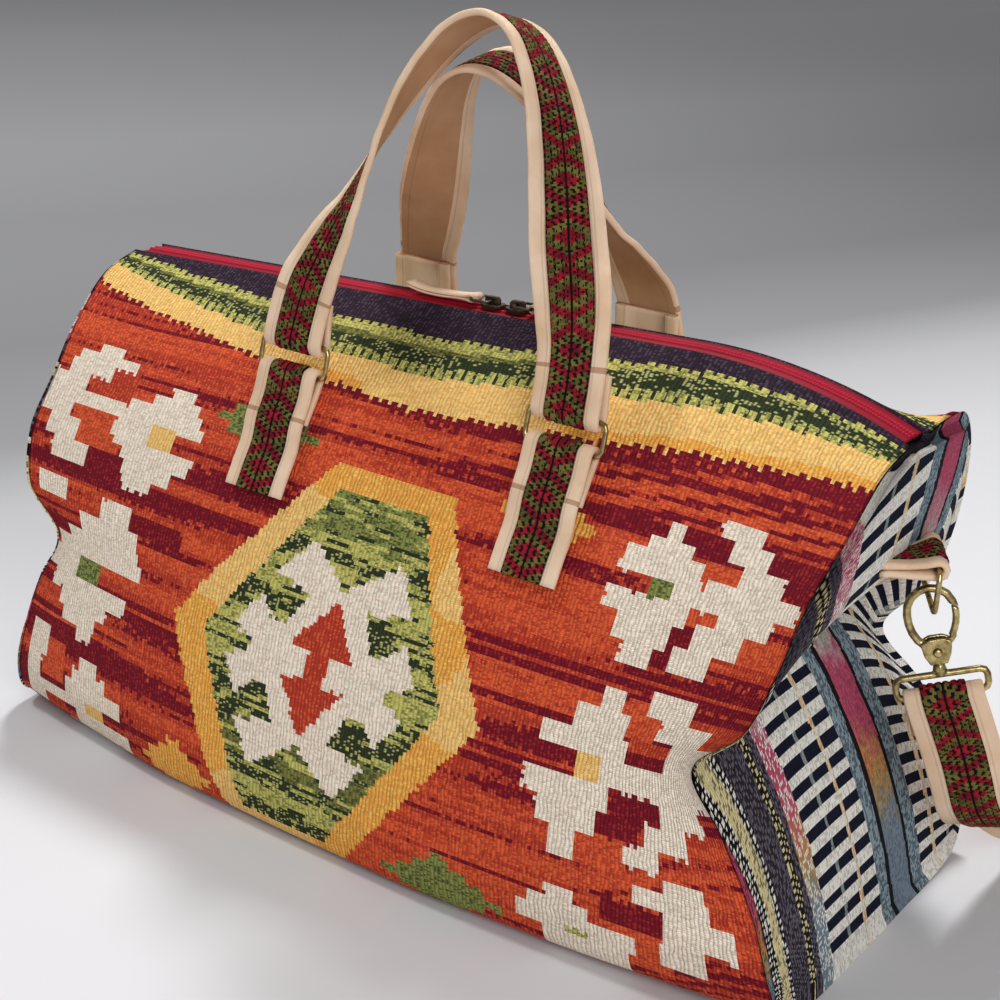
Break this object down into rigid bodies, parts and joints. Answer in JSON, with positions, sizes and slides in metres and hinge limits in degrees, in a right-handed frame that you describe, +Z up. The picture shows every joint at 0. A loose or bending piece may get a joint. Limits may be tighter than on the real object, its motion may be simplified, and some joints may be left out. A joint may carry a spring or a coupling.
{
  "type": "travel bag",
  "caption": "Soft woven travel bag with kilim sides, zip top, ringed strap handles and a clip-on shoulder strap.",
  "frame": {"origin": "centre of the bag's footprint at the floor it stands on", "axes": "+X along the length to the right of the front, +Y to the back, +Z up"},
  "size_m": [0.624, 0.3043, 0.4394],
  "materials": {
    "kilim": "coarse flat weave, matte",
    "stripes": "coarse striped weave, matte",
    "canvas": "plain canvas, matte",
    "trim": "jacquard braid, matte",
    "zip_tape": "woven tape with coil",
    "brass": "antique, satin",
    "dark_metal": "dark, satin"
  },
  "bodies": {
    "bag": {"back_tab_left": "canvas", "back_tab_left_trim": "trim", "back_tab_right": "canvas", "back_tab_right_trim": "trim", "body_panel": "kilim", "end_panel_left": "stripes", "end_panel_right": "stripes", "front_tab_left": "canvas", "front_tab_left_trim": "trim", "front_tab_right": "canvas", "front_tab_right_trim": "trim", "hook_eye_left": "brass", "hook_eye_right": "brass", "shoulder_strap": "canvas", "shoulder_strap_trim": "trim", "side_tab_left": "canvas", "side_tab_right": "canvas", "side_tab_trim_left": "trim", "side_tab_trim_right": "trim", "zip_tape_back": "zip_tape", "zip_tape_front": "zip_tape"},
    "zip_slider_left": {"zip_slider_left": "dark_metal"},
    "zip_pull_left": {"zip_link_left": "dark_metal", "zip_pull_left": "canvas"},
    "side_ring_left": {"side_ring_left": "brass"},
    "hook_left": {"hook_frame_left": "brass", "hook_rivet_left": "brass"},
    "hook_gate_left": {"hook_gate_left": "brass"},
    "zip_slider_right": {"zip_slider_right": "dark_metal"},
    "zip_pull_right": {"zip_link_right": "dark_metal", "zip_pull_right": "canvas"},
    "side_ring_right": {"side_ring_right": "brass"},
    "hook_right": {"hook_frame_right": "brass", "hook_rivet_right": "brass"},
    "hook_gate_right": {"hook_gate_right": "brass"},
    "front_rings": {"front_ring_left": "brass", "front_ring_right": "brass"},
    "front_handle": {"front_handle": "canvas", "front_handle_trim": "trim"},
    "back_rings": {"back_ring_left": "brass", "back_ring_right": "brass"},
    "back_handle": {"back_handle": "canvas", "back_handle_trim": "trim"}
  },
  "joints": [
    {"name": "zip_slider_left_slide", "type": "slide", "parent": "bag", "child": "zip_slider_left", "axis": [-0.9988, 0, -0.0489], "range_m": [0, 0.2]},
    {"name": "zip_pull_left_lift", "type": "hinge", "parent": "zip_slider_left", "child": "zip_pull_left", "pos_m": [0.00575, 0, 0.28369], "axis": [0, 1, 0], "range_deg": [0, 90]},
    {"name": "zip_slider_right_slide", "type": "slide", "parent": "bag", "child": "zip_slider_right", "axis": [0.9988, 0, 0.0489], "range_m": [0, 0.09]},
    {"name": "zip_pull_right_lift", "type": "hinge", "parent": "zip_slider_right", "child": "zip_pull_right", "pos_m": [0.02176, 0, 0.28447], "axis": [0, -1, 0], "range_deg": [0, 90]},
    {"name": "front_rings_tip", "type": "hinge", "parent": "bag", "child": "front_rings", "pos_m": [0, -0.06538, 0.23957], "axis": [1, 0, 0], "range_deg": [0, 100]},
    {"name": "front_handle_tip", "type": "hinge", "parent": "front_rings", "child": "front_handle", "pos_m": [0, -0.06185, 0.25619], "axis": [1, 0, 0], "range_deg": [0, 60]},
    {"name": "back_rings_tip", "type": "hinge", "parent": "bag", "child": "back_rings", "pos_m": [0, 0.0653, 0.2417], "axis": [-1, 0, 0], "range_deg": [0, 100]},
    {"name": "back_handle_tip", "type": "hinge", "parent": "back_rings", "child": "back_handle", "pos_m": [0, 0.06176, 0.25833], "axis": [-1, 0, 0], "range_deg": [0, 60]},
    {"name": "side_ring_right_swing", "type": "hinge", "parent": "bag", "child": "side_ring_right", "pos_m": [0.26, 0.016, 0.204], "axis": [0.5, -0.866, 0], "range_deg": [-3, 6]},
    {"name": "hook_right_swivel", "type": "hinge", "parent": "bag", "child": "hook_right", "pos_m": [0.26798, 0.02061, 0.14861], "axis": [-0.2241, -0.1294, 0.9659], "range_deg": [-30, 30]},
    {"name": "hook_gate_right_open", "type": "hinge", "parent": "hook_right", "child": "hook_gate_right", "pos_m": [0.26654, 0.01978, 0.15479], "axis": [0.5, -0.866, 0], "range_deg": [0, 20], "stiffness_Nm_per_rad": 0.02},
    {"name": "side_ring_left_swing", "type": "hinge", "parent": "bag", "child": "side_ring_left", "pos_m": [-0.26, 0.016, 0.204], "axis": [0.5, 0.866, 0], "range_deg": [-3, 6]},
    {"name": "hook_left_swivel", "type": "hinge", "parent": "bag", "child": "hook_left", "pos_m": [-0.26798, 0.02061, 0.14861], "axis": [-0.2241, 0.1294, -0.9659], "range_deg": [-30, 30]},
    {"name": "hook_gate_left_open", "type": "hinge", "parent": "hook_left", "child": "hook_gate_left", "pos_m": [-0.26654, 0.01978, 0.15479], "axis": [0.5, 0.866, 0], "range_deg": [0, 20], "stiffness_Nm_per_rad": 0.02}
  ]
}
